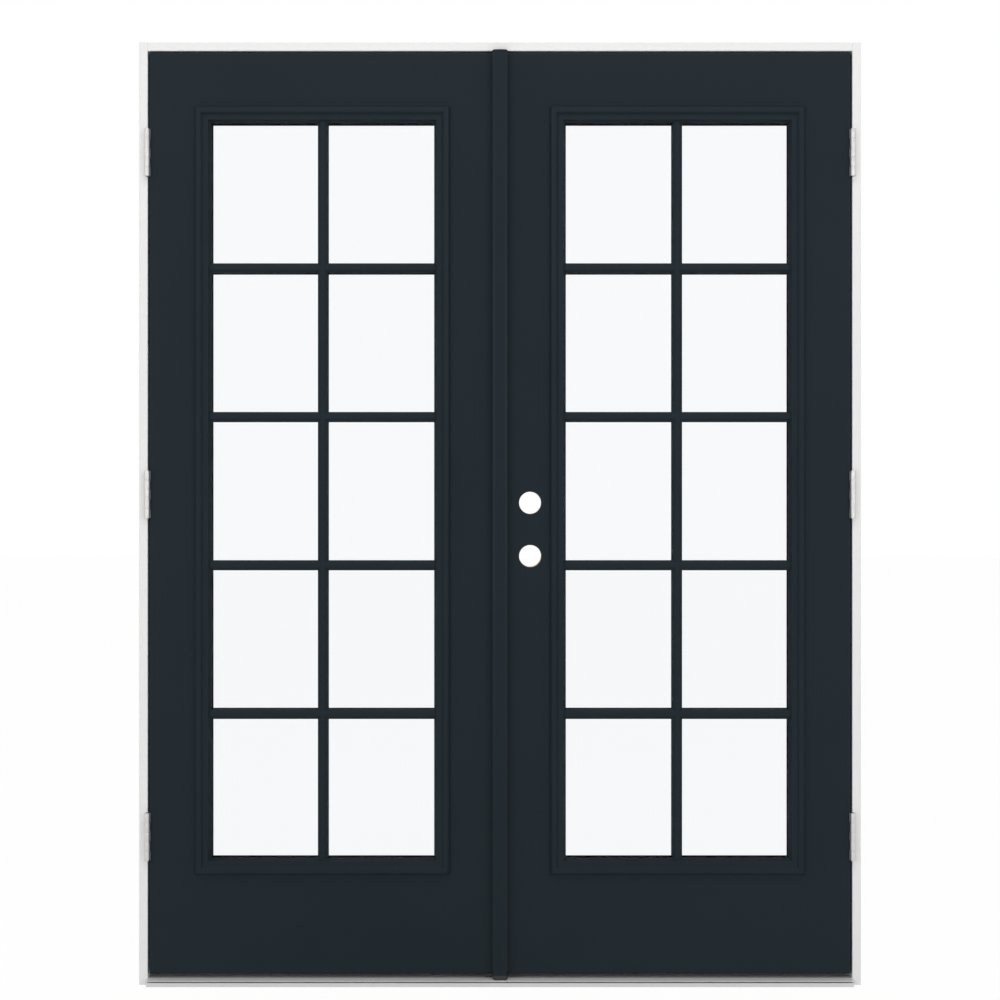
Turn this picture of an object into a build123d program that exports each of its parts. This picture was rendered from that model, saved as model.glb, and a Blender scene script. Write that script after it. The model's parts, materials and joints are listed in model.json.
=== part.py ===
from build123d import *
import os

# A pair of outswing French doors, closed, in their frame and without the wall.
# X runs along the opening, Y runs into the building and Z is up.  The origin is on the centre
# line, at the underside of the sill and in the plane of the frame's outdoor face.

# Frame
frame_width = 1562.0
frame_height = 2039.2
jamb_depth = 115.9
jamb_thickness = 18.5
stop_projection = 13.0
arris = 1.5
frame_screw_length = 55.0

# Sill
sill_nose = 20.0
nose_height = 8.6
nose_groove = 3.4
nose_groove_depth = 14.0
tread_height = 13.4
tread_rise = 1.2
platform_height = 38.0
sill_wall = 2.2

# Door leaves
door_thickness = 44.45
hinge_gap = 3.5
head_gap = 3.5
meeting_gap = 10.0
door_bottom = 24.3
edge_radius = 3.0
skin_thickness = 0.8
skin_return = 12.0
stile_width = 36.0
rail_height = 36.0
lock_block_height = 330.0
lock_block_width = 70.0

# Weather seals
seal_clearance = 0.3
kerf_width = 3.2
kerf_depth = 10.0
seal_width = 8.5
bumper_height = 8.0
sweep_width = 28.0
sweep_thickness = 1.8
sweep_kerf = 6.0

# Glazing
lite_free_margin = 103.2
lite_hinge_margin = 99.2
lite_top_margin = 117.0
lite_bottom_margin = 214.7
lite_flange = 18.0
lite_sight = 34.5
lite_crest = 9.5
lite_neck = 2.0
glass_inset = 28.0
pane_thickness = 4.0
unit_thickness = 25.4
spacer_width = 5.0
spacer_inset = 1.5
muntin_width = 21.0
muntin_face = 8.0
muntin_edge = 3.5
muntin_set_back = 1.0
cross_bars = 4
top_pane_extra = 2.8
lite_screw_rows = 5
lite_boss_radius = 3.6
lite_boss_top = 2.0
lite_well_depth = 12.0
lite_screw_depth = 1.8
lite_screw_length = 36.4

# Hinges
hinge_from_top = 217.0
hinge_from_bottom = 297.0
hinge_height = 101.6
hinge_depth = 30.0
leaf_thickness = 2.2
knuckle_radius = 5.4
knuckle_gap = 0.35
knuckle_count = 5
pin_radius = 3.2
pin_clearance = 0.05
pin_offset = 6.5
pin_head_radius = 5.2
pin_head_round = 0.3
pin_head_height = 1.1
hinge_screw_length = 25.0
jamb_screw_tip = 2.5
hinge_screw_count = 4

# Locks
backset = 60.3
lock_bore_radius = 24.0
lock_bore_heights = (927.6, 1042.9)
latch_bore_radius = 12.7

# Astragal
astragal_width = 34.0
astragal_height = 16.0
astragal_shoulder = 8.5
astragal_end_round = 3.0
astragal_foot_round = 6.0
astragal_clearance = 0.5
astragal_over_head = 0.5
stem_thickness = 5.0
boot_height = 9.0
astragal_screw_length = 22.0
astragal_screw_count = 6

# Flush bolts
bolt_radius = 6.35
bolt_length = 230.0
bolt_inset = 12.0
bolt_clearance = 0.4
top_throw = 16.0
bottom_throw = 20.0
plate_length = 150.0
plate_width = 25.4
plate_thickness = 2.5
thumb_width = 7.0
thumb_length = 22.0
keeper_width = 26.0
keeper_thickness = 1.6

# Screws
screw_head_radius = 4.0
screw_shank_radius = 2.0
screw_head_height = 2.4

# Places worked out from the sizes above
half_frame = frame_width / 2
rabbet_x = half_frame - jamb_thickness
stop_x = rabbet_x - stop_projection
head_bottom = frame_height - jamb_thickness
head_stop_bottom = head_bottom - stop_projection
stop_y = door_thickness + 9.55
slab_free_x = meeting_gap / 2
slab_hinge_x = rabbet_x - hinge_gap
slab_top = head_bottom - head_gap
slab_middle_y = door_thickness / 2
tread_back = tread_height + tread_rise
riser_y = door_thickness + 3.5
lite_width = slab_hinge_x - slab_free_x - lite_free_margin - lite_hinge_margin
lite_x = slab_free_x + lite_free_margin + lite_width / 2
lite_height = slab_top - door_bottom - lite_top_margin - lite_bottom_margin
lite_centre = door_bottom + lite_bottom_margin + lite_height / 2
cut_width = lite_width - 2 * lite_flange
cut_height = lite_height - 2 * lite_flange
glass_width = lite_width - 2 * glass_inset
glass_height = lite_height - 2 * glass_inset
sight_height = lite_height - 2 * lite_sight
pane_height = (sight_height - top_pane_extra - cross_bars * muntin_width) / (cross_bars + 1)
cross_bar_pitch = pane_height + muntin_width
lowest_bar = lite_centre - sight_height / 2 + pane_height + muntin_width / 2
pane_front = slab_middle_y - unit_thickness / 2
pane_back = pane_front + pane_thickness
tape_gap = 0.3
pin_y = -pin_offset
lowest_hinge = door_bottom + hinge_from_bottom
highest_hinge = slab_top - hinge_from_top
hinge_centres = (lowest_hinge, (lowest_hinge + highest_hinge) / 2, highest_hinge)


def block(x, y, z):
    """A box given by its lowest and highest x, y and z."""
    spans = (x, y, z)
    middle = [(low + high) / 2 for low, high in spans]
    return Pos(*middle) * Box(*[high - low for low, high in spans])


def upright(outline, low, high, radii=0):
    """A closed outline of (x, y) points with rounded corners, raised from low to high."""
    wire = FilletPolyline(*outline, radius=radii, close=True)
    return extrude(Pos(0, 0, low) * make_face(wire), high - low)


def lengthwise(outline, low, high, radii=0):
    """A closed outline of (y, z) points with rounded corners, carried along x from low to high."""
    face = make_face(FilletPolyline(*outline, radius=radii, close=True))
    place = Plane(origin=(low, 0, 0), x_dir=(0, 1, 0), z_dir=(1, 0, 0))
    return extrude(place * face, high - low)


def round_bar(start, direction, length, radius, end_radius=None):
    """A round bar or a cone that leaves start in a direction."""
    place = Plane(origin=start, z_dir=direction)
    half = Pos(0, 0, length / 2)
    if end_radius is None:
        return place * half * Cylinder(radius, length)
    return place * half * Cone(radius, end_radius, length)


def screw(head, direction, length, head_radius=screw_head_radius, shank=screw_shank_radius):
    """A countersunk screw whose head's flat is at the point given."""
    cone = round_bar(head, direction, screw_head_height, head_radius, shank)
    return cone + round_bar(head, direction, length, shank)


def frame_of(width, height, centre, y, border):
    """A flat rectangular ring in the plane of the door, with its border inside the outer size."""
    x_mid, z_mid = centre
    outer = block((x_mid - width / 2, x_mid + width / 2), y, (z_mid - height / 2, z_mid + height / 2))
    inside_x = (x_mid - width / 2 + border, x_mid + width / 2 - border)
    inside_z = (z_mid - height / 2 + border, z_mid + height / 2 - border)
    return outer - block(inside_x, (y[0] - 1, y[1] + 1), inside_z)


# The frame

def side_jamb():
    """The right jamb: a full-height rabbeted board with a kerf for the weatherstrip."""
    outline = [(rabbet_x, 0), (half_frame, 0), (half_frame, jamb_depth), (stop_x, jamb_depth),
               (stop_x, stop_y), (rabbet_x, stop_y)]
    board = upright(outline, 0, frame_height, radii=[arris, arris, arris, arris, arris, 0])
    board -= block((stop_x - 1, rabbet_x), (-1, jamb_depth + 1), (-1, platform_height))
    board -= block((stop_x - 1, rabbet_x), (stop_y - 1, jamb_depth + 1), (head_stop_bottom, frame_height + 1))
    kerf_x = rabbet_x - seal_width / 2
    board -= block((kerf_x - kerf_width / 2, kerf_x + kerf_width / 2), (stop_y - 1, stop_y + kerf_depth),
                   (platform_height - 1, head_stop_bottom + 1))
    return board


def head_jamb():
    """The head, which runs between the side jambs."""
    outline = [(0, head_bottom), (stop_y, head_bottom), (stop_y, head_stop_bottom),
               (jamb_depth, head_stop_bottom), (jamb_depth, frame_height), (0, frame_height)]
    head = lengthwise(outline, -rabbet_x, rabbet_x, radii=[arris, 0, arris, arris, arris, arris])
    kerf_z = head_bottom - seal_width / 2
    head -= block((-rabbet_x, rabbet_x), (stop_y - 1, stop_y + kerf_depth),
                  (kerf_z - kerf_width / 2, kerf_z + kerf_width / 2))
    head -= bolt_hole(head_bottom - 1, slab_top + top_throw + 2)
    return head - keeper(head_bottom, drilled=False)


def sill_outline(inset, underside):
    """The sill's section: a nose, a tread that rises gently, a riser and a platform."""
    return [(-sill_nose + inset, underside), (-sill_nose + inset, tread_height - inset),
            (riser_y + inset, tread_back - inset), (riser_y + inset, platform_height - inset),
            (jamb_depth - inset, platform_height - inset), (jamb_depth - inset, underside)]


def sill_pieces():
    """The aluminium extrusion and the composite substrate that it wraps."""
    whole = lengthwise(sill_outline(0, 0), -rabbet_x, rabbet_x, radii=[0.8, 1.1, 2.0, 2.5, 1.5, 0.5])
    groove_top = nose_height + nose_groove
    whole -= block((-rabbet_x - 1, rabbet_x + 1), (-sill_nose - 1, -sill_nose + nose_groove_depth),
                   (nose_height, groove_top))
    inner = lengthwise(sill_outline(sill_wall, -1), -rabbet_x - 1, rabbet_x + 1)
    nose = block((-rabbet_x - 1, rabbet_x + 1), (-sill_nose - 1, -sill_nose + nose_groove_depth + sill_wall),
                 (-1, tread_height + 1))
    hollow = inner - nose
    bored = bolt_hole(door_bottom - bottom_throw - 2, platform_height)
    return whole - hollow - bored, (whole & hollow) - bored


def bumper_seal():
    """The soft vinyl bead on the sill's riser that the doors close against."""
    face_y = door_thickness + seal_clearance
    top = platform_height - 2
    outline = [(riser_y, top - bumper_height), (riser_y, top), (face_y, top - 1.5),
               (face_y, top - bumper_height + 1.5)]
    return lengthwise(outline, -stop_x, stop_x, radii=[0, 0, 1.2, 1.2])


def weatherstrip_outline():
    """Foam bulb and barbed fin, as (distance from the rabbet, y) points."""
    front = door_thickness + seal_clearance
    middle = seal_width / 2
    fin = 0.6
    barb = kerf_width / 2
    bulb = [(0.4, stop_y), (0.4, front + 2), (2.4, front), (seal_width - 2, front), (seal_width, front + 2),
            (seal_width, stop_y)]
    tail = [(middle + fin, stop_y), (middle + fin, stop_y + 3), (middle + barb, stop_y + 3),
            (middle, stop_y + kerf_depth - 1), (middle - barb, stop_y + 3), (middle - fin, stop_y + 3),
            (middle - fin, stop_y)]
    return bulb + tail


def side_weatherstrip():
    """The strip in the right jamb's kerf."""
    outline = [(rabbet_x - away, y) for away, y in weatherstrip_outline()]
    return upright(outline, platform_height + seal_clearance, head_stop_bottom - seal_clearance)


def head_weatherstrip():
    """The strip in the head's kerf."""
    outline = [(y, head_bottom - away) for away, y in weatherstrip_outline()]
    return lengthwise(outline, -rabbet_x + seal_clearance, rabbet_x - seal_clearance)


def frame_screws():
    """Screws through the side jambs into the head and the sill."""
    heights = (frame_height - jamb_thickness / 2, platform_height / 2)
    depths = (jamb_depth * 0.72, jamb_depth * 0.9)
    return [screw((side * half_frame, y, z), (-side, 0, 0), frame_screw_length)
            for side in (-1, 1) for z in heights for y in depths]


# The door leaves, drawn as the right one

def slab(inset=0.0):
    """The leaf's outside with its face edges rounded, or the same drawn in by an inset."""
    whole = block((slab_free_x + inset, slab_hinge_x - inset), (inset, door_thickness - inset),
                  (door_bottom + inset, slab_top - inset))
    rims = [edge for side in (Axis.Y, -Axis.Y) for edge in whole.faces().sort_by(side)[-1].edges()]
    return fillet(rims, edge_radius - inset)


def slab_slice(low_y, high_y):
    """A box wider than the leaf, between two depths."""
    return block((slab_free_x - 1, slab_hinge_x + 1), (low_y, high_y), (door_bottom - 1, slab_top + 1))


def lite_cut():
    """The hole in the leaf for the lite."""
    return block((lite_x - cut_width / 2, lite_x + cut_width / 2), (-1, door_thickness + 1),
                 (lite_centre - cut_height / 2, lite_centre + cut_height / 2))


def skins():
    """The outer and inner steel skins: trays whose rims return round the leaf's edges."""
    shell = slab() - slab(skin_thickness) - lite_cut()
    return shell & slab_slice(-1, skin_return), shell & slab_slice(door_thickness - skin_return, door_thickness + 1)


def core():
    """What the skins hold: the space inside them and the bare band round the leaf's edges."""
    return slab(skin_thickness) + (slab() & slab_slice(skin_return, door_thickness - skin_return))


def lock_bores():
    """The two cross bores and the latch bores that meet them from the leaf's edge."""
    x = slab_free_x + backset
    cuts = []
    for z in lock_bore_heights:
        cuts.append(round_bar((x, -1, z), (0, 1, 0), door_thickness + 2, lock_bore_radius))
        cuts.append(round_bar((-1, slab_middle_y, z), (1, 0, 0), x + 1, latch_bore_radius))
    return cuts


def hinge_mortise():
    """What the hinge leaves take out of the leaf's edge and of the jamb."""
    cuts = []
    for z in hinge_centres:
        z_span = (z - hinge_height / 2, z + hinge_height / 2)
        cuts.append(block((slab_hinge_x - leaf_thickness, rabbet_x + leaf_thickness), (-1, hinge_depth), z_span))
    return cuts


def core_pieces():
    """Stiles, rails, lock block and foam of the right leaf, before any machining."""
    whole = core()
    lock_x = slab_free_x + stile_width
    hinge_x = slab_hinge_x - stile_width
    lower = door_bottom + rail_height
    upper = slab_top - rail_height
    y_span = (-1, door_thickness + 1)
    z_span = (door_bottom - 1, slab_top + 1)
    block_middle = sum(lock_bore_heights) / len(lock_bore_heights)
    block_z = (block_middle - lock_block_height / 2, block_middle + lock_block_height / 2)
    lock_block = whole & block((lock_x, lock_x + lock_block_width), y_span, block_z)
    return {
        "lock_stile": whole & block((slab_free_x - 1, lock_x), y_span, z_span),
        "hinge_stile": whole & block((hinge_x, slab_hinge_x + 1), y_span, z_span),
        "bottom_rail": (whole & block((lock_x, hinge_x), y_span, (door_bottom - 1, lower))) - sweep_space(),
        "top_rail": whole & block((lock_x, hinge_x), y_span, (upper, slab_top + 1)),
        "lock_block": lock_block,
        "foam_core": (whole & block((lock_x, hinge_x), y_span, (lower, upper))) - lite_cut(),
    }


# The lite: moulded frames, sealed glass unit and muntins

def lite_profile():
    """The outer lite frame's section, as (distance in from its rim, height off the door face)."""
    lip_top = -7.0
    lip_under = -pane_front + tape_gap
    neck = -slab_middle_y
    wall = 2.6
    flange = lite_flange + 0.4
    outside = [
        Line((0, 0), (0, 1.2)),
        TangentArc((0, 1.2), (8, lite_crest), tangent=(0, 1)),
        Line((8, lite_crest), (12.4, lite_crest)),
        Spline((12.4, lite_crest), (15.6, 7.2), (20.4, 4.6), tangents=((1, -0.1), (1, -0.15))),
        Line((20.4, 4.6), (28.6, 4.2)),
        Line((28.6, 4.2), (31.6, -2.4)),
        Spline((31.6, -2.4), (33.6, -3.4), (lite_sight, lip_top), tangents=((1, -0.1), (0.1, -1))),
        Line((lite_sight, lip_top), (lite_sight, lip_under)),
    ]
    inside = Polyline(
        (lite_sight, lip_under), (28.0, lip_under), (28.0, -4.6), (26.8, 4.2 - wall),
        (flange + lite_neck, 4.3 - wall), (flange + lite_neck, neck), (flange, neck), (flange, 0),
        (flange - 2, 0), (flange - 2, 4.6 - wall), (11.0, lite_crest - wall), (5.2, lite_crest - wall - 1.2),
        (wall, 0), (0, 0))
    return make_face(outside + [inside])


def lite_ring():
    """The outer lite frame: its section carried round the lite with mitred corners."""
    x, z = lite_x, lite_centre
    left, right = x - lite_width / 2, x + lite_width / 2
    low, high = z - lite_height / 2, z + lite_height / 2
    path = Polyline((x, 0, low), (right, 0, low), (right, 0, high), (left, 0, high), (left, 0, low), (x, 0, low))
    place = Plane(origin=(x, 0, low), x_dir=(0, 0, 1), z_dir=(1, 0, 0))
    return sweep(place * lite_profile(), path=path, transition=Transition.RIGHT)


def to_inside(shape):
    """The same shape seen from indoors: mirrored about the leaf's middle plane."""
    return mirror(shape, about=Plane(origin=(0, slab_middle_y, 0), z_dir=(0, 1, 0)))


def lite_screw_places():
    """Where the screws stand, as (x, z) points in the channel between leaf and glass."""
    across = (cut_width + glass_width) / 4 - 0.2
    up = (cut_height + glass_height) / 4 - 0.2
    spread = glass_height * 0.44
    steps = [spread * (2 * row / (lite_screw_rows - 1) - 1) for row in range(lite_screw_rows)]
    sides = [(lite_x + side * across, lite_centre + step) for side in (-1, 1) for step in steps]
    ends = [(lite_x + shift * glass_width / 4, lite_centre + end * up)
            for end in (-1, 1) for shift in (-1, 1)]
    return sides + ends


def muntin_grid():
    """One upright bar and the cross bars, with bevelled sides, from the glass to near the door face."""
    base = pane_front - tape_gap
    top = muntin_set_back
    edge = base - muntin_edge
    half, flat = muntin_width / 2, muntin_face / 2
    section = [(-half, base), (-half, edge), (-flat, top), (flat, top), (half, edge), (half, base)]
    inner_z = glass_height / 2 - 2
    inner_x = glass_width / 2 - 2
    grid = upright([(lite_x + u, y) for u, y in section], lite_centre - inner_z, lite_centre + inner_z)
    for bar in range(cross_bars):
        z = lowest_bar + bar * cross_bar_pitch
        grid += lengthwise([(y, z + u) for u, y in section], lite_x - inner_x, lite_x + inner_x)
    return grid


def lite_pieces():
    """Frames, panes, spacer, muntins and screws of one lite."""
    ring = lite_ring()
    inner_ring = to_inside(ring)
    grid = muntin_grid() - ring
    places = lite_screw_places()
    boss = lite_boss_radius
    reach = slab_middle_y + lite_boss_top
    head_y = door_thickness - lite_screw_depth
    bosses = [round_bar((x, -lite_boss_top, z), (0, 1, 0), reach, boss) for x, z in places]
    pilots = [round_bar((x, 4, z), (0, 1, 0), slab_middle_y, screw_shank_radius) for x, z in places]
    sleeves = [round_bar((x, slab_middle_y, z), (0, 1, 0), reach, boss) for x, z in places]
    wells = [round_bar((x, head_y, z), (0, 1, 0), lite_well_depth, boss - 0.2) for x, z in places]
    screws = [screw((x, head_y, z), (0, -1, 0), lite_screw_length, boss - 0.4) for x, z in places]
    centre = (lite_x, lite_centre)
    pane_x = (lite_x - glass_width / 2, lite_x + glass_width / 2)
    pane_z = (lite_centre - glass_height / 2, lite_centre + glass_height / 2)
    outer_pane = block(pane_x, (pane_front, pane_back), pane_z)
    gap = (pane_back, door_thickness - pane_back)
    spacer = frame_of(glass_width - 2 * spacer_inset, glass_height - 2 * spacer_inset, centre, gap, spacer_width)
    return {
        "outer_lite_frame": ring + bosses - pilots,
        "inner_lite_frame": inner_ring + sleeves - pilots_through(places) - wells - screws,
        "outer_pane": outer_pane,
        "inner_pane": to_inside(outer_pane),
        "glass_spacer": spacer,
        "outer_muntins": grid,
        "inner_muntins": to_inside(grid),
        "lite_screws": screws,
    }


def pilots_through(places):
    """Clearance holes for the lite screws in the inner frame."""
    return [round_bar((x, slab_middle_y - 1, z), (0, 1, 0), slab_middle_y, screw_shank_radius) for x, z in places]


def sweep_outline(clearance):
    """The section of the sweep with its two kerf fins, grown by a clearance."""
    front = slab_middle_y - sweep_width / 2
    back = slab_middle_y + sweep_width / 2
    half = sweep_thickness / 2 + clearance
    fin_top = door_bottom + sweep_kerf + clearance
    low = door_bottom - sweep_thickness
    outline = [(front, low), (front, door_bottom)]
    for middle in (front + sweep_width / 4, back - sweep_width / 4):
        outline += [(middle - half, door_bottom), (middle - half, fin_top), (middle + half, fin_top),
                    (middle + half, door_bottom)]
    return outline + [(back, door_bottom), (back, low)]


def door_sweep():
    """The vinyl strip under the leaf, held by two fins in the bottom rail's kerfs."""
    ends = (slab_free_x + stile_width + seal_clearance, slab_hinge_x - stile_width - seal_clearance)
    return lengthwise(sweep_outline(0), *ends)


def sweep_space():
    """The kerfs that the sweep's fins are pushed into."""
    kerfs = lengthwise(sweep_outline(0.1), slab_free_x + stile_width - 1, slab_hinge_x - stile_width + 1)
    return kerfs & slab_slice(-1, door_thickness + 1).moved(Pos(0, 0, 1))


# Hinges, drawn on the right side

def hinge_places():
    """Heights at which the knuckles of one hinge start and end, jamb knuckles first and last."""
    pitch = hinge_height / knuckle_count
    spans = []
    for number in range(knuckle_count):
        low = number * pitch - hinge_height / 2
        spans.append((low + knuckle_gap / 2, low + pitch - knuckle_gap / 2))
    return spans


def hinge_leaf(inner_x, outer_x, spans, touch_y):
    """Three leaves with knuckles rolled about the pin, one at each hinge."""
    leaves = []
    bore = pin_radius + pin_clearance
    for z in hinge_centres:
        plate = block((inner_x, outer_x), (seal_clearance, hinge_depth), (z - hinge_height / 2, z + hinge_height / 2))
        for low, high in spans:
            plate += block((inner_x, outer_x), (touch_y, seal_clearance), (z + low, z + high))
            plate += round_bar((rabbet_x, pin_y, z + low), (0, 0, 1), high - low, knuckle_radius)
        plate -= round_bar((rabbet_x, pin_y, z - hinge_height), (0, 0, 1), 2 * hinge_height, bore)
        leaves.append(plate)
    return leaves


def hinge_screw_places():
    """Depth and height of each screw in one hinge leaf, in a zigzag."""
    step = hinge_height / hinge_screw_count
    places = []
    for number in range(hinge_screw_count):
        height = (number + 0.5) * step - hinge_height / 2
        depth = hinge_depth * (0.35 if number in (0, hinge_screw_count - 1) else 0.68)
        places.append((depth, height))
    return places


def hinge_screws(face_x, direction, length):
    """The screws of the three leaves on one side of the gap."""
    return [screw((face_x, y, z + height), (direction, 0, 0), length)
            for z in hinge_centres for y, height in hinge_screw_places()]


def jamb_hinge_screws():
    """The jamb leaves' screws, which stop just short of the jamb's back."""
    return hinge_screws(rabbet_x, 1, jamb_thickness - jamb_screw_tip)


def door_hinge_screws():
    """The door leaves' screws."""
    return hinge_screws(slab_hinge_x, -1, hinge_screw_length)


def hinge_pins():
    """Three loose pins with a flat head at each end."""
    pins = []
    for z in hinge_centres:
        half = hinge_height / 2
        pin = round_bar((rabbet_x, pin_y, z - half), (0, 0, 1), hinge_height, pin_radius)
        for end, way in ((z + half, 1), (z - half, -1)):
            button = round_bar((rabbet_x, pin_y, end), (0, 0, way), pin_head_height, pin_head_radius)
            rim = button.edges().sort_by(Axis.Z)[-1 if way > 0 else 0]
            pin += fillet(rim, pin_head_round)
        pins.append(pin)
    return pins


# The astragal, on the right leaf's free edge

def astragal_bar():
    """A T-section bar: a rounded flange over the meeting gap and a stem screwed to the leaf's edge."""
    half = astragal_width / 2
    back = -astragal_clearance
    front = -astragal_height
    corners = [(-half, back), (-half, front), (half, front), (half, back), (stem_thickness, back),
               (slab_free_x, door_thickness), (slab_free_x - stem_thickness, door_thickness),
               (slab_free_x - stem_thickness, back)]
    radii = [0, astragal_shoulder, astragal_shoulder, 0, 0, 0, 0, 0]
    bar = upright(corners, door_bottom - 1, head_bottom + astragal_over_head, radii=radii)
    return bar - block((-half - 1, half + 1), (back, jamb_depth), (slab_top, frame_height))


def rounded_foot(half, low):
    """What is taken off a foot's two lower corners to round them, seen from the front."""
    high = low + astragal_foot_round
    outline = [(-half, low), (half, low), (half, high + 1), (-half, high + 1)]
    wire = FilletPolyline(*outline, radius=[astragal_foot_round, astragal_foot_round, 0, 0], close=True)
    place = Plane(origin=(0, -astragal_clearance, 0), x_dir=(1, 0, 0), z_dir=(0, -1, 0))
    kept = extrude(place * make_face(wire), astragal_height + 1)
    return block((-half - 1, half + 1), (-astragal_height - 1, -astragal_clearance), (low - 1, high)) - kept


def astragal_pieces():
    """The bar with its seal strip, rubber boot and screws."""
    half = astragal_width / 2
    bottom = door_bottom - 1
    back = -astragal_clearance
    bar = astragal_bar()
    strip_x = (-half + 3, -half + 9)
    groove = block(strip_x, (-2.5, 0), (bottom - 1, slab_top))
    strip = block(strip_x, (-2.5, -seal_clearance), (bottom, slab_top))
    rim = [edge for edge in bar.edges().group_by(Axis.Z)[-1] if edge.center().Y < back - 1]
    bar = fillet(rim, astragal_end_round)
    low = bottom - boot_height
    boot = upright([(-half, -astragal_clearance), (-half, -astragal_height), (half, -astragal_height),
                    (half, -astragal_clearance)], low, bottom, radii=[0, astragal_shoulder, astragal_shoulder, 0])
    bar -= rounded_foot(half, bottom)
    boot -= rounded_foot(half, low)
    free_x = slab_free_x - stem_thickness
    step = (slab_top - door_bottom) / astragal_screw_count
    heights = [door_bottom + (number + 0.5) * step for number in range(astragal_screw_count)]
    screws = [screw((free_x, slab_middle_y, z), (1, 0, 0), astragal_screw_length) for z in heights]
    return bar - groove - screws, strip, boot, screws


# Flush bolts, in the left leaf's free edge

def bolt_hole(low, high):
    """A round hole in line with the flush bolts, between two heights."""
    x = -slab_free_x - bolt_inset
    return round_bar((x, slab_middle_y, low), (0, 0, 1), high - low, bolt_radius + bolt_clearance)


def keeper(low, drilled=True):
    """A strike plate round a bolt's hole."""
    x = -slab_free_x - bolt_inset
    half = keeper_width / 2
    plate = block((x - half, x + half), (slab_middle_y - half, slab_middle_y + half), (low, low + keeper_thickness))
    if drilled:
        plate -= round_bar((x, slab_middle_y, low - 1), (0, 0, 1), keeper_thickness + 2, bolt_radius + bolt_clearance)
    return plate


def flush_bolt(end, way):
    """A bolt and its thumb piece; end is the height of its tip and way points along its throw."""
    x = -slab_free_x - bolt_inset
    bolt = round_bar((x, slab_middle_y, end - way * bolt_length), (0, 0, way), bolt_length, bolt_radius)
    tip = bolt.edges().sort_by(Axis.Z)[-1 if way > 0 else 0]
    bolt = chamfer(tip, 1.5)
    middle = end - way * (bolt_length - thumb_length)
    z_span = (middle - thumb_length / 2, middle + thumb_length / 2)
    return bolt + block((x, -slab_free_x - 0.6), (slab_middle_y - thumb_width / 2, slab_middle_y + thumb_width / 2),
                        z_span)


def bolt_plate(end, way, throw):
    """The edge plate, with a slot for the thumb piece."""
    middle = end - way * (bolt_length - thumb_length)
    z_span = (middle - plate_length / 2, middle + plate_length / 2)
    y_span = (slab_middle_y - plate_width / 2, slab_middle_y + plate_width / 2)
    return block((-slab_free_x - plate_thickness, -slab_free_x), y_span, z_span), slot_space(end, way, throw)


def slot_space(end, way, throw):
    """The space that the thumb piece sweeps."""
    middle = end - way * (bolt_length - thumb_length)
    travel = sorted((middle - way * (thumb_length / 2 + 1), middle + way * (thumb_length / 2 + throw + 1)))
    half = thumb_width / 2 + bolt_clearance
    return block((-slab_free_x - bolt_inset, -slab_free_x + 1), (slab_middle_y - half, slab_middle_y + half), tuple(travel))


def bolt_bore(end, way):
    """The bore in the stile that a bolt slides in."""
    x = -slab_free_x - bolt_inset
    start = end - way * (bolt_length + 3)
    return round_bar((x, slab_middle_y, start), (0, 0, way), bolt_length + 6, bolt_radius + bolt_clearance)


# Putting the pieces together

def write(name, shapes):
    """Writes one sub-part, from one solid or a list of separate solids."""
    solids = []
    for shape in shapes if isinstance(shapes, list) else [shapes]:
        solids.extend(shape.solids())
    result = solids[0] if len(solids) == 1 else Compound(children=solids)
    export_step(result, os.path.join("parts", name + ".step"))


def to_left(shapes):
    """The same pieces on the left side."""
    if isinstance(shapes, list):
        return [mirror(shape, about=Plane.YZ) for shape in shapes]
    return mirror(shapes, about=Plane.YZ)


def build_frame():
    """Jambs, head, sill, seals and fasteners."""
    jamb = side_jamb() - hinge_mortise() - jamb_hinge_screws() - frame_screws()
    extrusion, substrate = sill_pieces()
    strip = side_weatherstrip()
    write("jamb_right", jamb)
    write("jamb_left", to_left(jamb))
    write("jamb_head", head_jamb() - frame_screws())
    write("sill_extrusion", extrusion - keeper_recess() - frame_screws())
    write("sill_substrate", substrate - frame_screws())
    write("sill_bumper_seal", bumper_seal())
    write("weatherstrip_right", strip)
    write("weatherstrip_left", to_left(strip))
    write("weatherstrip_head", head_weatherstrip())
    write("frame_screws", frame_screws())
    write("bolt_keepers", [keeper(head_bottom), keeper(tread_keeper_low())])


def tread_keeper_low():
    """The underside of the strike plate that is let into the tread."""
    slope = tread_rise / (riser_y + sill_nose)
    return tread_height + slope * (slab_middle_y + sill_nose) - keeper_thickness


def keeper_recess():
    """The pocket in the tread for its strike plate, open above."""
    plate = keeper(tread_keeper_low(), drilled=False)
    return plate + plate.moved(Pos(0, 0, keeper_thickness))


def build_hinges(side, place):
    """The hinges of one side."""
    spans = hinge_places()
    jamb_spans = spans[0::2]
    door_spans = spans[1::2]
    door_x = slab_hinge_x - leaf_thickness
    jamb_screws = jamb_hinge_screws()
    door_screws = door_hinge_screws()
    jamb_leaves = hinge_leaf(rabbet_x, rabbet_x + leaf_thickness, jamb_spans, pin_y + pin_radius + 0.4)
    door_leaves = hinge_leaf(door_x, slab_hinge_x, door_spans, pin_y)
    cut_jamb = [leaf - jamb_screws for leaf in jamb_leaves]
    cut_door = [leaf - door_screws for leaf in door_leaves]
    write("hinge_" + side + "_jamb_leaves", place(cut_jamb))
    write("hinge_" + side + "_door_leaves", place(cut_door))
    write("hinge_" + side + "_pins", place(hinge_pins()))
    write(side + "_hinge_screws", place(door_screws))
    return place(jamb_screws)


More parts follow.
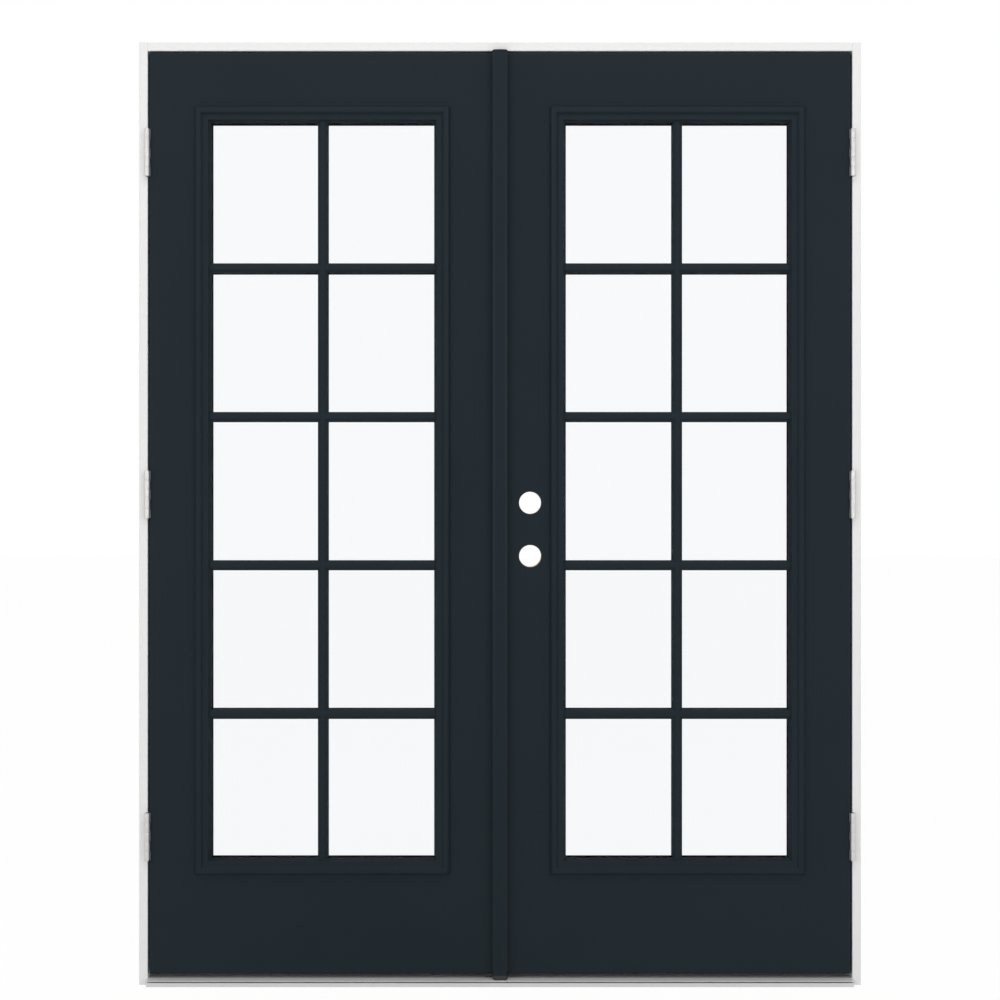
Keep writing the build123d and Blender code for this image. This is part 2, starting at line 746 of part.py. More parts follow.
def build_leaf(side, place, cuts, with_block):
    """The pieces of one door leaf; cuts are taken out of its stiles and skins."""
    outer, inner = skins()
    machined = hinge_mortise() + cuts
    wood = core_pieces()
    if with_block:
        wood["foam_core"] -= wood["lock_block"]
        wood["lock_block"] -= machined
    else:
        del wood["lock_block"]
    wood["lock_stile"] -= machined
    wood["hinge_stile"] = wood["hinge_stile"] - machined - door_hinge_screws()
    write(side + "_outer_skin", place(outer - machined))
    write(side + "_inner_skin", place(inner - machined))
    for name, shape in wood.items():
        write(side + "_" + name, place(shape))
    for name, shape in lite_pieces().items():
        write(side + "_" + name, place(shape))
    write(side + "_door_sweep", place(door_sweep()))


def same(shapes):
    """Pieces left where they are."""
    return shapes


def main():
    """Builds and writes every sub-part."""
    os.makedirs("parts", exist_ok=True)
    build_frame()
    jamb_screws = build_hinges("right", same) + build_hinges("left", to_left)
    write("jamb_hinge_screws", jamb_screws)
    bar, strip, boot, screws = astragal_pieces()
    bores = lock_bores()
    write("astragal", bar - bores)
    write("astragal_seal", strip)
    write("astragal_boot", boot)
    write("astragal_screws", screws)
    build_leaf("right", same, bores + screws, with_block=True)
    top_end = slab_top - 0.5
    bottom_end = door_bottom + 0.5
    top_plate, top_slot = bolt_plate(top_end, 1, top_throw)
    bottom_plate, bottom_slot = bolt_plate(bottom_end, -1, bottom_throw)
    bolt_cuts = [bolt_bore(top_end, 1), bolt_bore(bottom_end, -1), top_slot, bottom_slot, top_plate, bottom_plate]
    build_leaf("left", to_left, to_left(bolt_cuts), with_block=False)
    write("flush_bolt_plates", [top_plate - top_slot, bottom_plate - bottom_slot])
    write("flush_bolt_top", flush_bolt(top_end, 1))
    write("flush_bolt_bottom", flush_bolt(bottom_end, -1))


main()
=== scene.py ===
import bpy
import json
import math
import numpy as np
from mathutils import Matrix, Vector


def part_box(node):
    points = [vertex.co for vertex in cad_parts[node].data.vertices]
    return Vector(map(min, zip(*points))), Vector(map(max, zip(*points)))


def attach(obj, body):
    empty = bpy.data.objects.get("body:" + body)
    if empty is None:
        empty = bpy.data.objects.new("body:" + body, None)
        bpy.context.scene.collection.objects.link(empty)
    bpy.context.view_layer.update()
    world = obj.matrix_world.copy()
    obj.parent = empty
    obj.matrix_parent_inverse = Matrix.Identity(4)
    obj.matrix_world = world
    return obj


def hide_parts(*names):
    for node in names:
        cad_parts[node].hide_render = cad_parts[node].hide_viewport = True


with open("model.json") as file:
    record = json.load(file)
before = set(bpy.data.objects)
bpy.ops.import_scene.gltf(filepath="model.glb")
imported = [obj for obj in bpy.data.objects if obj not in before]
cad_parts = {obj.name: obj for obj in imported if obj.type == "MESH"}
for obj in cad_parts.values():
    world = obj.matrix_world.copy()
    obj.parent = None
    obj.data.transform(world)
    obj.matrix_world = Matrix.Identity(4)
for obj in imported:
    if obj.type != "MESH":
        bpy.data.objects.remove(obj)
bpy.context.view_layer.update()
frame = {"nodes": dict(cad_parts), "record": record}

nodes = frame["nodes"]

MM = 0.001

# Camera and picture
PHOTO_WIDTH = 1000
FRAME_LEFT_PX, FRAME_RIGHT_PX = 138.95, 860.95
CAMERA_DISTANCE = 4.10
CAMERA_HEIGHT = 1.049
SENSOR = 36.0
CLIP_END = 100

# Light
WORLD_FILL = 0.58
TOP_POWER = 29
SIDE_POWER = 19
BACK_POWER = 18
FLOOR_SHARE = 0.97
FLOOR_HALF, FLOOR_LEVEL = 30.0, -0.0005

# Lamps: name, width and height in m, power in W, place and aim in m
LAMPS = (
    ("top_lamp", (3.2, 0.8), TOP_POWER, (0, -1.9, 4.2), (0, 0, 0.9)),
    ("left_lamp", (0.5, 2.6), SIDE_POWER, (-2.7, -3.1, 1.6), (0, 0, 1.1)),
    ("right_lamp", (0.5, 2.6), SIDE_POWER, (2.7, -3.1, 1.6), (0, 0, 1.1)),
    ("back_lamp", (2.5, 2.0), BACK_POWER, (0, 3.4, 3.2), (0, 0, 1.1)),
)

# The middle range of a noise, where nearly all of its values lie
NOISE_LOW, NOISE_HIGH = 0.3, 0.7

# Lite moulding: the door face's y in m, then the section in mm, as (distance in from the rim,
# height off that face)
LITE_FACE = 0.0
LITE_CREST, LITE_WALL, LITE_SIGHT = 9.9, 2.6, 34.5
LITE_NECK = (18.4, 20.4)
LITE_UNDER, LITE_MEET = -9.225, -22.225
LITE_RIM = (0, 1.2)
LITE_TOP_START, LITE_TOP_END = (8, LITE_CREST), (12.0, LITE_CREST)
LITE_COVE, LITE_FLAT_END = (19.8, 3.6), (28.6, 3.4)
LITE_DIP, LITE_LIP = (31.4, -2.6), (LITE_SIGHT, -7.0)
LITE_CREASE = 50

# Hinges
KNUCKLES = 5
KNUCKLE_GAP, KNUCKLE_RADIUS, KNUCKLE_ROUND = 0.35 * MM, 5.45 * MM, 0.4 * MM
PIN_RADIUS, PIN_HEAD = 3.2 * MM, 1.1 * MM
PIN_HEAD_RADIUS, PIN_HEAD_ROUND = 5.2 * MM, 0.3 * MM
HINGES_A_SIDE = 3

# Weatherstrips, in mm
SEAL_WIDE, SEAL_FIN, SEAL_MIDDLE = 8.1, 9.0, 3.85
SEAL_FOOT_ROUND, SEAL_CROWN = 0.8, 3.4
FIN_HALF, BARB_HALF, BARB_LENGTH = 0.6, 1.5, 3.0
BARB_ROUND, TIP_ROUND = 0.2, 0.3
SEAL_CREASE = 50

# Astragal's painted face, in mm: widths from the middle, depths back from the front
COVER_SKIN, COVER_BLEND, COVER_FOOT, COVER_TOP = 0.05, 8.0, 5.0, 2.0
COVER_BACK, COVER_INSIDE, COVER_SINK = -1.0, (12.0, -6.0), 2.6
SIDE_DEPTH = 4.4
CORNER_WIDTH, CORNER_DEPTH = 15.3, 2.0
SLOPE_WIDTH, SLOPE_DEPTH = 11.0, 0.4
FLAT_WIDTH = 8.8
BLEND_STEPS = 9
COVER_CREASE = 50

# Sizes read from the frame
UNIT_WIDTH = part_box("jamb_right")[1].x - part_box("jamb_left")[0].x
PIXEL = UNIT_WIDTH / (FRAME_RIGHT_PX - FRAME_LEFT_PX)


def linear(code):
    """An sRGB hex colour as linear red, green, blue and full alpha."""
    channels = [int(code[i:i + 2], 16) / 255 for i in (1, 3, 5)]
    straight = [c / 12.92 if c <= 0.04045 else ((c + 0.055) / 1.055) ** 2.4 for c in channels]
    return (*straight, 1.0)


def add(tree, kind, inputs=(), **settings):
    """Adds one node, sets its properties, then sets or links its inputs by name."""
    node = tree.nodes.new(kind)
    for name, value in settings.items():
        setattr(node, name, value)
    for name, value in dict(inputs).items():
        if isinstance(value, bpy.types.NodeSocket):
            tree.links.new(value, node.inputs[name])
        else:
            node.inputs[name].default_value = value
    return node


def material(name, colour, roughness, **sockets):
    """A Principled material; returns it with its tree and its shader.

    A socket's name is given with _ for each space, as in IOR or Transmission_Weight.
    """
    made = bpy.data.materials.new(name)
    made.use_nodes = True
    tree = made.node_tree
    shader = tree.nodes["Principled BSDF"]
    shader.inputs["Base Color"].default_value = linear(colour)
    shader.inputs["Roughness"].default_value = roughness
    for socket, value in sockets.items():
        shader.inputs[socket.replace("_", " ")].default_value = value
    return made, tree, shader


def place(tree, scale=(1, 1, 1)):
    """Object coordinates in metres, scaled along each axis."""
    where = add(tree, "ShaderNodeTexCoord")
    mapping = add(tree, "ShaderNodeMapping",
                  {"Vector": where.outputs["Object"], "Scale": scale})
    return mapping.outputs["Vector"]


def grain(tree, size_mm, detail=3.0, stretch=(1, 1, 1)):
    """A noise whose features are about size_mm across, stretched along the axes given."""
    scale = [1 / (size_mm * MM) / s for s in stretch]
    return add(tree, "ShaderNodeTexNoise",
               {"Vector": place(tree, scale), "Scale": 1.0, "Detail": detail})


def mix_colours(tree, factor, low, high):
    """A colour that runs from low to high with a factor."""
    ramp = add(tree, "ShaderNodeMix", {"Factor": factor}, data_type="RGBA")
    # A mix node has sockets A, B and Result of each data type; 6, 7 and 2 are those for colours
    ramp.inputs[6].default_value = linear(low)
    ramp.inputs[7].default_value = linear(high)
    return ramp.outputs[2]


def spread(tree, value, low, high):
    """Maps a noise's middle range to low and high."""
    return add(tree, "ShaderNodeMapRange",
               {"Value": value, "From Min": NOISE_LOW, "From Max": NOISE_HIGH,
                "To Min": low, "To Max": high}).outputs["Result"]


def bump(tree, shader, height, depth_mm):
    """Bump from a height that runs from 0 to 1, depth_mm deep."""
    node = add(tree, "ShaderNodeBump",
               {"Height": height, "Distance": depth_mm * MM, "Strength": 1.0})
    tree.links.new(node.outputs["Normal"], shader.inputs["Normal"])


def slate_satin_paint():
    """Sprayed satin acrylic on primed steel: a soft sheen and a faint orange peel."""
    made, tree, shader = material("slate_satin_paint", "#1e282e", 0.40,
                                  Specular_IOR_Level=0.1)
    cloud = grain(tree, 260, 2.0)
    blend = mix_colours(tree, cloud.outputs["Fac"], "#1c262c", "#202a30")
    tree.links.new(blend, shader.inputs["Base Color"])
    peel = grain(tree, 2.5, 2.0)
    sheen = spread(tree, peel.outputs["Fac"], 0.37, 0.43)
    tree.links.new(sheen, shader.inputs["Roughness"])
    bump(tree, shader, peel.outputs["Fac"], 0.015)
    return made


def slate_moulded_lite():
    """Moulded thermoplastic painted with the door: softer and more matt than the steel."""
    made, tree, shader = material("slate_moulded_lite", "#1e282e", 0.6,
                                  Specular_IOR_Level=0.12)
    cloud = grain(tree, 180, 2.0)
    blend = mix_colours(tree, cloud.outputs["Fac"], "#1c262c", "#212b31")
    tree.links.new(blend, shader.inputs["Base Color"])
    fine = grain(tree, 1.6, 2.0)
    bump(tree, shader, fine.outputs["Fac"], 0.008)
    return made


def factory_primer():
    """White factory primer on finger-jointed pine: matt, with the grain just telegraphing."""
    made, tree, shader = material("factory_primer", "#f4f4f3", 0.55,
                                  Specular_IOR_Level=0.3)
    cloud = grain(tree, 300, 2.0, (1, 1, 4))
    blend = mix_colours(tree, cloud.outputs["Fac"], "#f2f2f1", "#f6f6f5")
    tree.links.new(blend, shader.inputs["Base Color"])
    lines = grain(tree, 1.2, 3.0, (1, 1, 40))
    bump(tree, shader, lines.outputs["Fac"], 0.02)
    return made


def clear_float_glass():
    """Clear float glass, with the faint cold tint of the pane's thickness.

    The real IOR is 1.5. It is lower here so that the panes don't mirror the white background
    over the dark edges behind them, where the photograph has no such reflection.
    """
    return material("clear_float_glass", "#fbfcfd", 0.0, Transmission_Weight=1.0, IOR=1.12)[0]


def mill_aluminium():
    """Extruded aluminium with a mill finish: bright, with fine die lines along its length."""
    made, tree, shader = material("mill_aluminium", "#dededd", 0.45, Metallic=0.1,
                                  Specular_IOR_Level=0.25)
    lines = grain(tree, 0.8, 2.0, (220, 1, 1))
    sheen = spread(tree, lines.outputs["Fac"], 0.32, 0.42)
    tree.links.new(sheen, shader.inputs["Roughness"])
    bump(tree, shader, lines.outputs["Fac"], 0.012)
    return made


def satin_nickel():
    """Satin nickel plate on steel: fine brushing and a soft, warm grey shine."""
    made, tree, shader = material("satin_nickel", "#cecdcb", 0.3, Metallic=1.0)
    brushed = grain(tree, 0.6, 2.0, (1, 1, 30))
    sheen = spread(tree, brushed.outputs["Fac"], 0.28, 0.36)
    tree.links.new(sheen, shader.inputs["Roughness"])
    bump(tree, shader, brushed.outputs["Fac"], 0.006)
    return made


def zinc_plate():
    """Bright zinc plate on steel screws: a cool shine with slight blotches."""
    made, tree, shader = material("zinc_plate", "#c4c8cc", 0.3, Metallic=1.0)
    blotch = grain(tree, 3, 2.0)
    sheen = spread(tree, blotch.outputs["Fac"], 0.24, 0.38)
    tree.links.new(sheen, shader.inputs["Roughness"])
    return made


def black_vinyl():
    """Flexible black vinyl: nearly matt, with a fine extruded grain."""
    made, tree, shader = material("black_vinyl", "#232324", 0.6)
    fine = grain(tree, 1.0, 2.0)
    sheen = spread(tree, fine.outputs["Fac"], 0.54, 0.68)
    tree.links.new(sheen, shader.inputs["Roughness"])
    bump(tree, shader, fine.outputs["Fac"], 0.02)
    return made


def black_spacer():
    """Black structural foam spacer between the panes: matt and slightly open, with no shine."""
    made, tree, shader = material("black_spacer", "#0e0f10", 0.9, IOR=1.05)
    cell = grain(tree, 0.9, 2.0)
    bump(tree, shader, cell.outputs["Fac"], 0.05)
    return made


def composite_substrate():
    """Extruded wood-plastic composite: dark, with pale flecks."""
    made, tree, shader = material("composite_substrate", "#3b3733", 0.7)
    fleck = grain(tree, 2.5, 4.0, (4, 1, 1))
    blend = mix_colours(tree, fleck.outputs["Fac"], "#2f2c29", "#4b4640")
    tree.links.new(blend, shader.inputs["Base Color"])
    bump(tree, shader, fleck.outputs["Fac"], 0.05)
    return made


def planed_softwood():
    """Planed pine stiles and rails: straight grain with darker latewood lines."""
    made, tree, shader = material("planed_softwood", "#c9a36d", 0.6)
    rings = grain(tree, 6, 3.0, (1, 1, 60))
    blend = mix_colours(tree, rings.outputs["Fac"], "#b98f58", "#d9b782")
    tree.links.new(blend, shader.inputs["Base Color"])
    bump(tree, shader, rings.outputs["Fac"], 0.05)
    return made


def rigid_foam():
    """Poured polyurethane foam: pale straw, with fine cells."""
    made, tree, shader = material("rigid_foam", "#d9cfa4", 0.9)
    cell = grain(tree, 1.2, 2.0)
    blend = mix_colours(tree, cell.outputs["Fac"], "#cfc394", "#e2d9b2")
    tree.links.new(blend, shader.inputs["Base Color"])
    bump(tree, shader, cell.outputs["Fac"], 0.1)
    return made


def finishes():
    """One material for each of the record's slots."""
    return {
        "primed_white": factory_primer(), "slate_paint": slate_satin_paint(),
        "mill_aluminium": mill_aluminium(), "composite_substrate": composite_substrate(),
        "black_vinyl": black_vinyl(), "clear_glass": clear_float_glass(),
        "black_spacer": black_spacer(), "foam": rigid_foam(), "softwood": planed_softwood(),
        "satin_nickel": satin_nickel(), "zinc_steel": zinc_plate(),
    }


def dress(made, moulded):
    """Gives every CAD node its slot's material.

    Stiles and rails get the door's paint, since their edges show.
    """
    for entry in frame["record"]["subparts"]:
        name = entry["node"]
        chosen = made[entry["material_slot"]]
        if "lite_frame" in name or "muntins" in name:
            chosen = moulded
        if "stile" in name or "rail" in name:
            chosen = made["slate_paint"]
        obj = nodes[name]
        obj.data.materials.clear()
        obj.data.materials.append(chosen)


def piece(name, points, faces, finish, body, crease=35):
    """A smooth-shaded mesh riding on a body, from points in metres and a list of face arrays."""
    mesh = bpy.data.meshes.new(name)
    mesh.from_pydata(points.tolist(), [], [row for block in faces for row in block.tolist()])
    mesh.polygons.foreach_set("use_smooth", np.ones(len(mesh.polygons), bool))
    mesh.set_sharp_from_angle(angle=math.radians(crease))
    mesh.materials.append(finish)
    made = bpy.data.objects.new(name, mesh)
    bpy.context.scene.collection.objects.link(made)
    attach(made, body)
    return made


def wrap(rows, columns, closed_rows=True, closed_columns=True):
    """Quads of a grid whose point (r, c) has index r * columns + c, joined up where closed."""
    r, c = np.meshgrid(np.arange(rows if closed_rows else rows - 1),
                       np.arange(columns if closed_columns else columns - 1), indexing="ij")
    r2, c2 = (r + 1) % rows, (c + 1) % columns
    corners = [r * columns + c, r * columns + c2, r2 * columns + c2, r2 * columns + c]
    return np.stack(corners, -1).reshape(-1, 4)


def outward(points, faces):
    """The same faces, turned round if the signed volume of the closed mesh comes out negative."""
    volume = sum((points[f[:, 0]] * np.cross(points[f[:, k]], points[f[:, k + 1]])).sum()
                 for f in faces for k in range(1, f.shape[1] - 1))
    return [f[:, ::-1] for f in faces] if volume < 0 else faces


def joined(parts):
    """Several (points, list of face arrays) put together as one, with the indices moved along."""
    shift = np.cumsum([0] + [len(points) for points, _ in parts])
    points = np.concatenate([points for points, _ in parts])
    return points, [f + base for (_, faces), base in zip(parts, shift) for f in faces]


def hermite(start, start_way, end, end_way, count):
    """A cubic curve: p(t) is the Hermite blend of two ends and their ways, for t in [0, 1)."""
    t = np.linspace(0, 1, count, endpoint=False)[:, None]
    a, b, c, d = (np.array(v, float) for v in (start, start_way, end, end_way))
    return ((2 * t**3 - 3 * t**2 + 1) * a + (t**3 - 2 * t**2 + t) * b
            + (3 * t**2 - 2 * t**3) * c + (t**3 - t**2) * d)


def lite_outline():
    """The lite moulding's section in mm: the curves that show, then the hollow back."""
    wall, flange = LITE_WALL, LITE_NECK[0]
    shown = [hermite((0, 0), (0, 3.0), LITE_RIM, (0, 3.0), 2),
             hermite(LITE_RIM, (0, 11.0), LITE_TOP_START, (12.5, 0), 14),
             hermite(LITE_TOP_START, (4.0, 0), LITE_TOP_END, (4.0, 0), 3),
             hermite(LITE_TOP_END, (6.5, -0.4), LITE_COVE, (8.0, -0.5), 16),
             hermite(LITE_COVE, (8.8, -0.2), LITE_FLAT_END, (8.8, -0.2), 4),
             hermite(LITE_FLAT_END, (2.0, -0.3), LITE_DIP, (1.0, -3.8), 8),
             hermite(LITE_DIP, (3.8, 0.6), LITE_LIP, (0.2, -5.5), 10)]
    # The back, from the lip round: rebate for the glass, wall, neck to the indoor half, wall again
    hidden = np.array([LITE_LIP, (LITE_SIGHT, LITE_UNDER), (28.0, LITE_UNDER), (28.0, -4.6),
                       (26.8, 4.2 - wall), (LITE_NECK[1], 4.3 - wall), (LITE_NECK[1], LITE_MEET),
                       (flange, LITE_MEET), (flange, 0), (flange - 2, 0), (flange - 2, 4.6 - wall),
                       (11.0, LITE_CREST - wall), (5.2, LITE_CREST - wall - 1.2), (wall, 0)])
    return np.concatenate(shown + [hidden])


def ring(outline, low, high):
    """A section carried round a rectangle with mitred corners, closed on itself.

    At corner (sx, sz), the point of a section point (u, h) is x = edge_x - sx u,
    z = edge_z - sz u and y = LITE_FACE - h, with all lengths in metres.
    """
    corners = np.array([(low[0], low[1], -1, -1), (high[0], low[1], 1, -1),
                        (high[0], high[1], 1, 1), (low[0], high[1], -1, 1)])
    u, h = outline[:, 0] * MM, outline[:, 1] * MM
    x = corners[:, 0, None] - corners[:, 2, None] * u
    z = corners[:, 1, None] - corners[:, 3, None] * u
    y = np.broadcast_to(LITE_FACE - h, x.shape)
    points = np.stack([x, y, z], -1).reshape(-1, 3)
    return points, outward(points, [wrap(4, len(outline))])


def lite_frames(finish):
    """The moulded frames round the glass, with curves shaped for the photograph's light lines."""
    outline = lite_outline()
    for side in ("left", "right"):
        node = side + "_outer_lite_frame"
        low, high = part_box(node)
        points, faces = ring(outline, (low.x, low.z), (high.x, high.z))
        made = piece(side + "_outer_lite_moulding", points, faces, finish, side + "_door",
                     LITE_CREASE)
        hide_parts(node)


def strip(outline, start, end, along):
    """A closed section carried straight from start to end along x (0) or z (2), with flat ends.

    The section's points are (y, z) where it runs along x, and (x, y) where it runs along z.
    """
    count = len(outline)
    ends = np.repeat([start, end], count)
    first, second = np.tile(outline[:, 0], 2), np.tile(outline[:, 1], 2)
    columns = (ends, first, second) if along == 0 else (first, second, ends)
    points = np.stack(columns, -1)
    sides = wrap(2, count, closed_rows=False)
    caps = np.stack([np.arange(count)[::-1], np.arange(count) + count])
    return points, outward(points, [sides, caps])


def rounded(corners, radii, count=7):
    """A closed outline with each corner turned into an arc of its radius, of count points."""
    corners, radii = np.array(corners, float), np.array(radii, float)
    back = np.roll(corners, 1, 0) - corners
    on = np.roll(corners, -1, 0) - corners
    back /= np.linalg.norm(back, axis=1, keepdims=True)
    on /= np.linalg.norm(on, axis=1, keepdims=True)
    half = np.arccos(np.clip((back * on).sum(1), -1, 1)) / 2
    reach = radii / np.tan(half)
    inward = (back + on) / np.linalg.norm(back + on, axis=1, keepdims=True)
    middle = corners + inward * (radii / np.sin(half))[:, None]
    t = np.linspace(0, 1, count)[None, :, None]
    first = corners + back * reach[:, None]
    last = corners + on * reach[:, None]
    ray = (first[:, None] - middle[:, None]) * (1 - t) + (last[:, None] - middle[:, None]) * t
    size = np.linalg.norm(ray, axis=2, keepdims=True)
    arc = middle[:, None] + ray / np.where(size > 0, size, 1) * radii[:, None, None]
    line = np.where(radii[:, None, None] > 0, arc, corners[:, None]).reshape(-1, 2)
    return line[np.linalg.norm(line - np.roll(line, 1, 0), axis=1) > 1e-7]


def turned(profile, centre, count=40):
    """A profile of (radius, height) turned about the upright line through centre, with end caps.

    The point at angle a is (x + r cos a, y + r sin a, z) for each (r, z) of the profile.
    """
    angle = np.linspace(0, 2 * np.pi, count, endpoint=False)[:, None]
    r, z = profile[:, 0], profile[:, 1]
    points = np.stack([centre[0] + r * np.cos(angle), centre[1] + r * np.sin(angle),
                       np.broadcast_to(z, (count, len(z)))], -1).reshape(-1, 3)
    rows = len(profile)
    sides = wrap(count, rows, closed_columns=False)
    bottom = (np.arange(count) * rows)[None]
    top = (np.arange(count) * rows + rows - 1)[None]
    return points, outward(points, [sides, bottom, top[:, ::-1]])


def barrel(low, high, radius, round_off):
    """The (radius, height) profile of a round bar with its two end edges rounded off."""
    t = np.linspace(0, np.pi / 2, 6)
    core = radius - round_off
    lower = np.stack([core + round_off * np.sin(t), low + round_off - round_off * np.cos(t)], -1)
    upper = np.stack([core + round_off * np.cos(t), high - round_off + round_off * np.sin(t)], -1)
    return np.concatenate([lower, upper])


def hinge_barrels(finish):
    """Rolled knuckles and loose pins of the hinges, round where the solids are in facets."""
    for side in ("left", "right"):
        low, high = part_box("hinge_" + side + "_pins")
        axis = ((low.x + high.x) / 2, (low.y + high.y) / 2)
        spots = hinge_heights(side)
        pins = [turned(barrel(z - half - PIN_HEAD, z + half + PIN_HEAD, PIN_RADIUS, 0.0), axis)
                for z, half in spots]
        heads = [turned(barrel(*span, PIN_HEAD_RADIUS, PIN_HEAD_ROUND), axis) for z, half in spots
                 for span in ((z + half, z + half + PIN_HEAD), (z - half - PIN_HEAD, z - half))]
        points, faces = joined(pins + heads)
        made = piece("hinge_" + side + "_pin_set", points, faces, finish, "frame")
        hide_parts("hinge_" + side + "_pins")
        for body, first in (("frame", 0), (side + "_door", 1)):
            sleeves = []
            for z, half in spots:
                pitch = 2 * half / KNUCKLES
                for number in range(first, KNUCKLES, 2):
                    start = z - half + number * pitch + KNUCKLE_GAP / 2
                    end = start + pitch - KNUCKLE_GAP
                    sleeves.append(turned(barrel(start, end, KNUCKLE_RADIUS, KNUCKLE_ROUND), axis))
            points, faces = joined(sleeves)
            piece("hinge_" + side + "_knuckles_" + body, points, faces, finish, body)


def hinge_heights(side):
    """The middle and half height, in metres, of each of one side's three hinges."""
    obj = nodes["hinge_" + side + "_pins"]
    places = np.empty(3 * len(obj.data.vertices), np.float32)
    obj.data.vertices.foreach_get("co", places)
    heights = places[2::3].astype(float)
    cuts = np.linspace(heights.min(), heights.max(), HINGES_A_SIDE + 1)
    spots = []
    for low, high in zip(cuts[:-1], cuts[1:]):
        inside = heights[(heights >= low) & (heights <= high)]
        middle, reach = (inside.min() + inside.max()) / 2, (inside.max() - inside.min()) / 2
        spots.append((middle, reach - PIN_HEAD))
    return spots


def weather_seals(finish):
    """Foam bulbs with a soft crowned front, in the kerfs of the jambs and the head."""
    for place_in_frame in ("left", "right", "head"):
        node = "weatherstrip_" + place_in_frame
        low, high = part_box(node)
        off, y = seal_outline(low.y, high.y).T
        section, start, end, along = {
            "left": ((low.x + off, y), low.z, high.z, 2),
            "right": ((high.x - off, y), low.z, high.z, 2),
            "head": ((y, high.z - off), low.x, high.x, 0),
        }[place_in_frame]
        points, faces = strip(np.stack(section, -1), start, end, along)
        made = piece(node + "_foam", points, faces, finish, "frame", SEAL_CREASE)
        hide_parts(node)


def seal_outline(front, back):
    """The strip's section as (distance from the edge, y): a crowned bulb with a barbed fin."""
    wide, root = SEAL_WIDE * MM, back - SEAL_FIN * MM
    middle, fin, barb = SEAL_MIDDLE * MM, FIN_HALF * MM, BARB_HALF * MM
    deep = root + BARB_LENGTH * MM
    corners = [(0, root), (0, front), (wide, front), (wide, root), (middle + fin, root),
               (middle + fin, deep), (middle + barb, deep), (middle, back), (middle - barb, deep),
               (middle - fin, deep), (middle - fin, root)]
    radii = [SEAL_FOOT_ROUND, SEAL_CROWN, SEAL_CROWN, SEAL_FOOT_ROUND, 0, 0, BARB_ROUND, TIP_ROUND,
             BARB_ROUND, 0, 0]
    return rounded(corners, np.array(radii) * MM)


def astragal_cover(finish):
    """The astragal's painted face, with long soft shoulders over the solid's round ones.

    The section runs up one side, along the front and down the other, then back inside the
    solid. It is carried up the bar. Over the first and last COVER_BLEND it shrinks into the
    solid, by a factor that follows the smooth step 3t^2 - 2t^3.
    """
    low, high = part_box("astragal")
    half, front = high.x / MM + COVER_SKIN, low.y / MM - COVER_SKIN
    edge = (-half, front + SIDE_DEPTH)
    corner = (-CORNER_WIDTH, front + CORNER_DEPTH)
    slope = (-SLOPE_WIDTH, front + SLOPE_DEPTH)
    flat = (-FLAT_WIDTH, front)
    side = np.concatenate([[(-half, COVER_BACK)],
                           hermite(edge, (0, -3.2), corner, (2.6, -0.97), 8),
                           hermite(corner, (4.3, -1.6), slope, (4.3, -1.6), 3),
                           hermite(slope, (2.2, -0.8), flat, (2.2, 0), 6),
                           [flat]])
    other = side[::-1] * (-1, 1)
    wide, deep = COVER_INSIDE
    inside = np.array([(wide, COVER_BACK), (wide, deep), (-wide, deep), (-wide, COVER_BACK)])
    section = np.concatenate([side, other, inside])
    sunk = section * (1 - COVER_SINK / half, 1) + (0, COVER_SINK)
    sunk[:, 1] = np.minimum(sunk[:, 1], COVER_BACK)
    t = np.linspace(0, 1, BLEND_STEPS)[:, None, None]
    weight = 3 * t**2 - 2 * t**3
    end = sunk + (section - sunk) * weight
    sections = np.concatenate([end, end[::-1]])
    bottom, top = low.z + COVER_FOOT * MM, high.z - COVER_TOP * MM
    reach = COVER_BLEND * MM * t[:, 0, 0]
    heights = np.concatenate([bottom + reach, top - reach[::-1]])
    z = np.broadcast_to(heights[:, None], sections.shape[:2])
    points = np.stack([sections[..., 0] * MM, sections[..., 1] * MM, z], -1).reshape(-1, 3)
    rows, columns = sections.shape[:2]
    caps = np.stack([np.arange(columns)[::-1], np.arange(columns) + (rows - 1) * columns])
    faces = outward(points, [wrap(rows, columns, closed_rows=False), caps])
    piece("astragal_face", points, faces, finish, "right_door", COVER_CREASE)


def camera():
    """A level camera on the centre line, at the distance taken for the photograph."""
    data = bpy.data.cameras.new("camera")
    data.sensor_width = SENSOR
    data.lens = SENSOR * CAMERA_DISTANCE / (PIXEL * PHOTO_WIDTH)
    data.clip_end = CLIP_END
    made = bpy.data.objects.new("camera", data)
    made.location = (0, -CAMERA_DISTANCE, CAMERA_HEIGHT)
    made.rotation_euler = (math.radians(90), 0, 0)
    bpy.context.scene.collection.objects.link(made)
    bpy.context.scene.camera = made


def lamp(name, size, power, location, aim):
    """A soft rectangular lamp aimed at a point."""
    data = bpy.data.lights.new(name, "AREA")
    data.shape = "RECTANGLE"
    data.size, data.size_y = size
    data.energy = power
    made = bpy.data.objects.new(name, data)
    made.location = location
    direction = np.array(aim, float) - np.array(location, float)
    made.rotation_euler = Vector(direction).to_track_quat("-Z", "Y").to_euler()
    made.visible_camera = False
    made.visible_transmission = False
    bpy.context.scene.collection.objects.link(made)


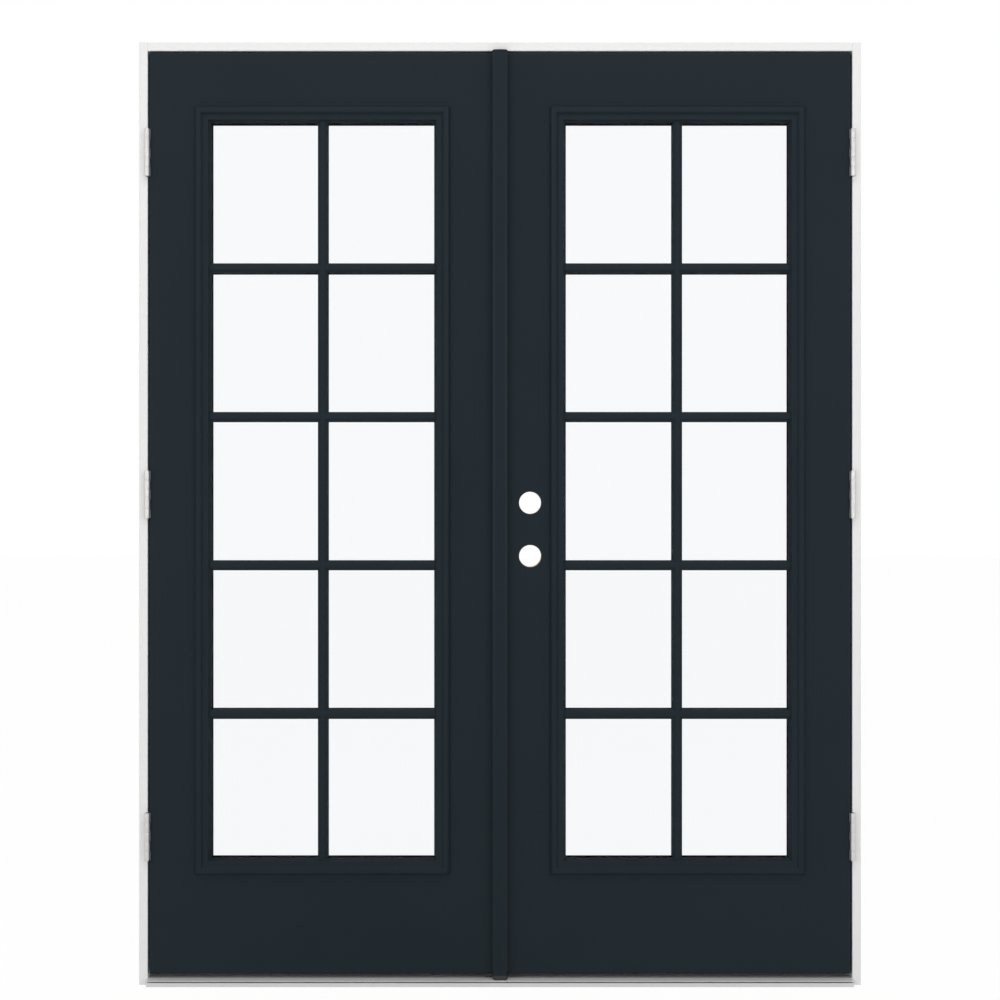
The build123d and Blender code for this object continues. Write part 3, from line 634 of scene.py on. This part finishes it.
def seen_directly(tree):
    """1 for rays from the camera, from a mirror or through glass, and 0 for the light itself."""
    path = add(tree, "ShaderNodeLightPath")
    mirror = add(tree, "ShaderNodeMath",
                 {0: path.outputs["Is Camera Ray"], 1: path.outputs["Is Glossy Ray"]},
                 operation="MAXIMUM")
    return add(tree, "ShaderNodeMath",
               {0: mirror.outputs[0], 1: path.outputs["Is Transmission Ray"]},
               operation="MAXIMUM").outputs[0]


def studio():
    """World, lamps and floor."""
    world = bpy.data.worlds.new("studio")
    bpy.context.scene.world = world
    world.use_nodes = True
    tree = world.node_tree
    tree.nodes.clear()
    fill = add(tree, "ShaderNodeBackground", {"Color": (1, 1, 1, 1), "Strength": WORLD_FILL})
    white = add(tree, "ShaderNodeBackground", {"Color": (1, 1, 1, 1), "Strength": 1.0})
    shown = add(tree, "ShaderNodeMixShader",
                {0: seen_directly(tree), 1: fill.outputs[0], 2: white.outputs[0]})
    add(tree, "ShaderNodeOutputWorld", {"Surface": shown.outputs[0]})
    for values in LAMPS:
        lamp(*values)


def floor():
    """A plain pale floor that is white to the eye and keeps a soft shadow."""
    mesh = bpy.data.meshes.new("floor")
    corners = [(FLOOR_HALF * x, FLOOR_HALF * y, FLOOR_LEVEL)
               for x, y in ((-1, -1), (1, -1), (1, 1), (-1, 1))]
    mesh.from_pydata(corners, [], [(0, 1, 2, 3)])
    made = bpy.data.objects.new("floor", mesh)
    bpy.context.scene.collection.objects.link(made)
    paint, tree, shader = material("pale_floor", "#f2f2f2", 0.9)
    out = tree.nodes["Material Output"]
    glow = add(tree, "ShaderNodeEmission", {"Color": (1, 1, 1, 1), "Strength": 1.0})
    share = add(tree, "ShaderNodeMath", {0: seen_directly(tree), 1: FLOOR_SHARE},
                operation="MULTIPLY")
    both = add(tree, "ShaderNodeMixShader",
               {0: share.outputs[0], 1: shader.outputs[0], 2: glow.outputs[0]})
    tree.links.new(both.outputs[0], out.inputs["Surface"])
    mesh.materials.append(paint)


def main():
    """Materials, camera, light and floor round the frame."""
    camera()
    made, moulded = finishes(), slate_moulded_lite()
    dress(made, moulded)
    lite_frames(moulded)
    hinge_barrels(made["satin_nickel"])
    weather_seals(made["black_vinyl"])
    astragal_cover(made["slate_paint"])
    studio()
    floor()
    bpy.context.scene.view_settings.view_transform = "Standard"


main()
